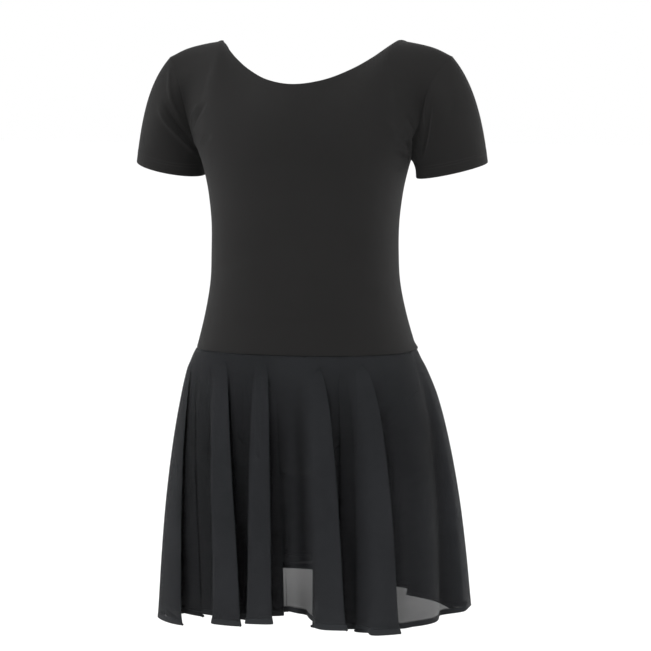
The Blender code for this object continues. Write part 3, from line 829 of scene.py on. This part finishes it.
brief = {
    "halfColumns": 50,
    "rows": 48,
    "wall": 0.0005,
    "inset": 0.0030,
    "tuck": 0.004,
    "hem": 0.008,
    "legStitches": 0.0055,
    "sideHeight": -0.389,
    "crotchShare": 2 / 9,  # of a half panel's columns, those that end on the crotch seam
    "belly": 0.7,
    "frontLeg": [(0.019, 0, -0.486), (0.0205, -0.034, -0.48), (0.036, -0.056, -0.462),
                 (0.06, -0.066, -0.437), (0.086, -0.058, -0.413), (0.108, -0.034, -0.397)],
    "backLeg": [(0.019, 0, -0.486), (0.026, 0.044, -0.483), (0.045, 0.076, -0.469),
                (0.07, 0.089, -0.447), (0.095, 0.079, -0.42), (0.115, 0.054, -0.399)],
}


def briefPanel(name, node, leg, front):
    u = np.arange(-brief["halfColumns"], brief["halfColumns"] + 1) / brief["halfColumns"]
    side = np.where(u >= 0, 1.0, -1.0)
    widest = body["sideAngle"] if front else pi - body["sideAngle"]
    angles = u * widest if front else pi - u * widest
    sideEnd = bodyPoint(body["sideAngle"], brief["sideHeight"], brief["inset"])
    edge = [*leg, sideEnd]
    start = bodyPoint(angles, body["waistSeam"] + brief["tuck"], brief["inset"])
    pastCrotch = np.clip((np.abs(u) - brief["crotchShare"]) / (1 - brief["crotchShare"]), 0, 1)
    onLeg = along(edge, pastCrotch)
    onCrotch = np.array(leg[0]) * np.stack([np.abs(u) / brief["crotchShare"], 1 + 0 * u, 1 + 0 * u], axis=-1)
    end = onSide(np.where((np.abs(u) <= brief["crotchShare"])[:, None], onCrotch, onLeg), side)
    reach = lengths(end - start)[:, None]
    inner = (np.clip(1 - np.abs(u), 0, 1) ** brief["belly"])[:, None]
    under, down = np.array([0, 1.0 if front else -1.0, 0]), np.array([0, 0, -1.0])
    t = np.arange(brief["rows"] + 1) / brief["rows"]
    arrive = unit(under * inner + down * (1 - inner)) * reach
    grid = thread(start, down * reach * (1 + brief["belly"] * inner), end, arrive, t[:, None] + 0 * u)
    if front:
        grid = grid[:, ::-1]
    legs = [onSide(along(edge, np.linspace(0, 1, 60)), np.full(60, way)) for way in (1.0, -1.0)]
    stitchedRows(name + "LegStitches", [rowBeside(grid, curve, brief["legStitches"]) for curve in legs])
    grid = turnRows(grid, True, arc=178, radius=0.0007, tail=brief["hem"])
    return makeSheet(name, grid, brief["wall"], blackJersey, node)


briefFront = briefPanel("briefFront", "brief_front", brief["frontLeg"], front=True)
briefBack = briefPanel("briefBack", "brief_back", brief["backLeg"], front=False)

# How far a fold turns under itself: at its edge and at its neck, before and after its middle
plainWave = (0, 0, 0, 0)
overlapped = (0.10, -0.20, 1.12, 1.35)
overlappedBefore = (1.12, 1.35, 0.10, -0.20)
overlappedBack = (0.12, -0.20, 1.34, 1.62)
flute = (0.60, 0.62, 1.34, 0.87)

skirt = {
    "columns": 620,
    "rows": 58,
    "curveWeight": 0.0035,  # metres of cloth that a radian of turning counts for when columns are spaced
    "wall": 0.0003,
    "waistCrowding": 1.2,
    "tuck": 0.0035,  # how far the cloth runs up inside the bodice
    "tuckInset": 0.0018,
    "hemRoll": 0.0012,
    "seamRadius": 0.0006,
    "seamAllowance": 0.005,
    "leanFade": 1.5,
    "foldGrowth": 0.85,
    "turnGrowth": 0.14,
    "paintedValleyShade": 0.62,  # painted shade: how much darker the colour is made deep between the folds, and their full height
    "fullHeight": 0.019,
    "curl": 1.3,  # degrees by which a flute spreads at its hem, and over what height
    "curlHeight": 0.008,
    "flare": [  # share of the drop, half width, centre, front depth, back depth
        (0.00, 0.1240, 0.0100, 0.0905, 0.0940), (0.03, 0.1285, 0.0090, 0.0935, 0.0980),
        (0.08, 0.1345, 0.0100, 0.0965, 0.1025), (0.19, 0.1422, 0.0180, 0.1040, 0.1070),
        (0.36, 0.1495, 0.0225, 0.1115, 0.1115), (0.57, 0.1553, 0.0250, 0.1165, 0.1150),
        (0.78, 0.1583, 0.0258, 0.1190, 0.1180), (1.00, 0.1597, 0.0262, 0.1205, 0.1195),
    ],
    "hem": [  # degrees round from the front towards the left, height between the folds
        (-90, -0.643), (-68, -0.647), (-48, -0.639), (-32, -0.634), (-11, -0.635), (4, -0.6225),
        (17, -0.635), (27, -0.641), (46, -0.6425), (60, -0.6405), (76, -0.6395), (90, -0.6345),
        (98, -0.6365), (125, -0.645), (145, -0.645), (165, -0.631), (190, -0.624), (203, -0.604),
        (222, -0.624),
        (246, -0.634),
    ],
    "folds": [  # hem angle, seam angle, half width, height at the hem, drop of its hem, start, turns
        (-102, -102, 10.5, 0.014, 0.002, 0.05, overlapped),
        (-80.75, -85, 10.75, 0.015, 0.003, 0.06, overlapped),
        (-60, -72, 10, 0.018, 0.005, 0.06, (0.10, -0.20, 1.60, 1.36)),
        (-22, -36, 4.2, 0.026, 0.003, 0.04, (0.10, -0.20, 1.80, 1.45)),
        (-8, -12.5, 3.6, 0.024, 0.001, 0.04, flute),
        (5.5, 1.5, 4, 0.007, 0.000, 0.10, plainWave),
        (15.5, 13, 6, 0.027, 0.003, 0.05, (0.10, -0.10, 0.88, 1.36)),
        (33.4, 35.5, 4.9, 0.029, 0.001, 0.04, (0.10, -0.25, 1.30, 1.82)),
        (47, 49, 6, 0.005, 0.000, 0.08, plainWave),
        (61, 62, 17, 0.012, 0.000, 0.12, plainWave),
        (92, 92, 15, 0.025, 0.000, 0.02, (0.10, 0.10, 0.20, 0.20)),
        (116.5, 116, 9.5, 0.020, 0.002, 0.05, overlappedBack),
        (135.5, 135, 9.5, 0.026, 0.004, 0.04, (0.12, -0.20, 1.56, 1.62)),
        (154.5, 154, 9.5, 0.023, 0.003, 0.06, overlappedBack),
        (173, 173, 9, 0.027, 0.005, 0.04, overlappedBack),
        (191, 192, 9, 0.024, 0.004, 0.05, overlappedBack),
        (210, 212, 10, 0.028, 0.006, 0.04, overlappedBack),
        (227, 228, 7, 0.022, 0.003, 0.06, overlappedBack),
        (240.7, 241, 6.8, 0.018, 0.002, 0.05, overlappedBack),
    ],
    "pleats": [  # small ones in the valleys: hem angles from and to, how many, height, start, turns
        (-50.5, -26.2, 2, 0.004, 0.06, (0.10, -0.24, 1.25, 1.70)),
        (-19.5, -11.6, 2, -0.006, 0.08, overlapped),
        (-4.4, 1.4, 1, -0.006, 0.12, overlappedBefore),
        (21.5, 28.5, 1, -0.010, 0.06, (0.10, -0.20, 1.30, 1.45)),
    ],
}


def ringAt(ring, angle):
    # Smooth values between rows that go once round
    ring = np.asarray(ring, float)
    before, after = ring[-1:].copy(), ring[:1].copy()
    before[:, 0] -= 360
    after[:, 0] += 360
    whole = np.concatenate([before, ring, after])
    return smoothAt(whole, np.where(angle >= whole[0, 0], angle, angle + 360))[..., 0]


def skirtFolds():
    # Every fold and pleat: angle, half width, height, drop, start and its four turns
    folds = [(fold[0], *fold[2:6], *fold[6]) for fold in skirt["folds"]]
    for first, last, count, height, start, turns in skirt["pleats"]:
        halfWidth = (last - first) / count / 2
        for k in range(count):
            folds.append((first + halfWidth * (2 * k + 1), halfWidth, height, 0, start, *turns))
    return folds


def skirtPoints(hemAngle, share):
    # Angles in a row, shares of the drop in a column: points, and the painted shade that darkens each deep between the
    # folds
    leans = [(fold[0], fold[1] - fold[0]) for fold in skirt["folds"]]
    angle = hemAngle + ringAt(leans, hemAngle) * np.clip(1 - share, 0, 1) ** skirt["leanFade"]
    hem = ringAt(skirt["hem"], hemAngle) + 0 * share
    drop = body["waistSeam"] - hem
    nearHem = np.exp(-(1 - np.clip(share, 0, 1)) * drop / skirt["curlHeight"])
    standsOut = 0 * angle
    for middle, halfWidth, height, lower, start, edgeBefore, neckBefore, edgeAfter, neckAfter in skirtFolds():
        x = ((hemAngle - middle + 180) % 360 - 180) / halfWidth
        far = np.clip(np.abs(x), 0, 1)
        turns = max(edgeBefore, edgeAfter) > 0.25
        profile = (1 - far ** (4 if 0 < edgeAfter < 0.25 else 2)) ** 2
        grown = np.clip((share - start) / (1 - start), 0, 1)
        standsOut = standsOut + height * profile * grown ** skirt["foldGrowth"]
        toNeck = np.clip((far - 0.3) / 0.4, 0, 1)
        toNeck = toNeck * toNeck * (3 - 2 * toNeck)
        edge, neck = np.where(x < 0, edgeBefore, edgeAfter), np.where(x < 0, neckBefore, neckAfter)
        turned = halfWidth * (edge + (neck - edge) * toNeck) * grown ** skirt["turnGrowth"]
        turned = turned + turns * min(skirt["curl"], 0.2 * halfWidth) * nearHem * (far < 0.5)
        angle = angle + turned * np.sign(x) * np.sin(2 * pi * far)
        hem = hem - lower * profile
    angle = np.radians(angle)
    section = smoothAt(skirt["flare"], np.clip(share, 0, 1) + 0 * angle)
    top = body["waistSeam"]
    point = sectionPoint(section, angle, top + (hem - top) * np.clip(share, 0, 1))
    middle = np.stack(np.broadcast_arrays(0.0, section[..., 1], point[..., 2]), axis=-1)
    # Painted shade: the deeper a point lies in a valley, the darker its colour, growing from the waist downwards
    depth = 1 - np.clip(standsOut / (skirt["fullHeight"] * np.clip(share, 0.05, 1) ** skirt["foldGrowth"]), 0, 1)
    shade = 1 - skirt["paintedValleyShade"] * depth * np.clip(share / 0.3, 0, 1)
    return point + unit(point - middle) * standsOut[..., None], shade


def skirtGrid(first, last):
    # Columns stand closer where the folds turn
    dense = np.linspace(first, last, 9000)
    steps = np.diff(skirtPoints(dense[None, :], np.array([[0.8]]))[0][0], axis=0)
    turning = np.arccos(np.clip((unit(steps[1:]) * unit(steps[:-1])).sum(axis=1), -1, 1))
    run = np.cumsum(lengths(steps)) + skirt["curveWeight"] * np.concatenate([[0.0], np.cumsum(turning)])
    run = np.concatenate([[0.0], run])
    angles = np.interp(np.linspace(0, run[-1], skirt["columns"] + 1), run, dense)[::-1]
    shares = (np.arange(skirt["rows"] + 1) / skirt["rows"]) ** skirt["waistCrowding"]
    grid, shade = skirtPoints(angles[None, :], shares[:, None])
    return smoothed(grid, 1), shade


def skirtPanel(name, node, first, last):
    grid, shade = skirtGrid(first, last)
    inwards = unit(np.array([0, 0.01, 0]) - grid[0] * np.array([1, 1, 0]))
    tucked = grid[0] + inwards * skirt["tuckInset"]
    grid = np.concatenate([[tucked + np.array([0, 0, skirt["tuck"]])], [tucked], grid[1:]])
    fade = fadeAtEnds(len(grid), 4, 0.2)
    seam = {"arc": 176, "radius": skirt["seamRadius"] * fade, "tail": skirt["seamAllowance"] * fade}
    columns = grid.shape[1]
    grid = turnColumns(turnColumns(grid, True, **seam), False, **seam)
    before, added = len(grid), (grid.shape[1] - columns) // 2
    radius = np.full(grid.shape[1], skirt["hemRoll"])
    radius[:added] = radius[-added:] = skirt["hemRoll"] / 4
    grid = turnRows(grid, True, arc=330, radius=radius, tail=0.0001, steps=10, lies=False)
    # The painted valley shade is stretched over the turned seams and hem
    shade = np.pad(shade, ((1, len(grid) - before), (added, added)), mode="edge")
    return makeSheet(name, grid, skirt["wall"], blackChiffon, node,
                     hemRows=len(grid) - before + 1, shade=shade)


sideDegrees = 97
skirtFront = skirtPanel("skirtFront", "skirt_front", -sideDegrees, sideDegrees)
skirtBack = skirtPanel("skirtBack", "skirt_back", sideDegrees, 360 - sideDegrees)
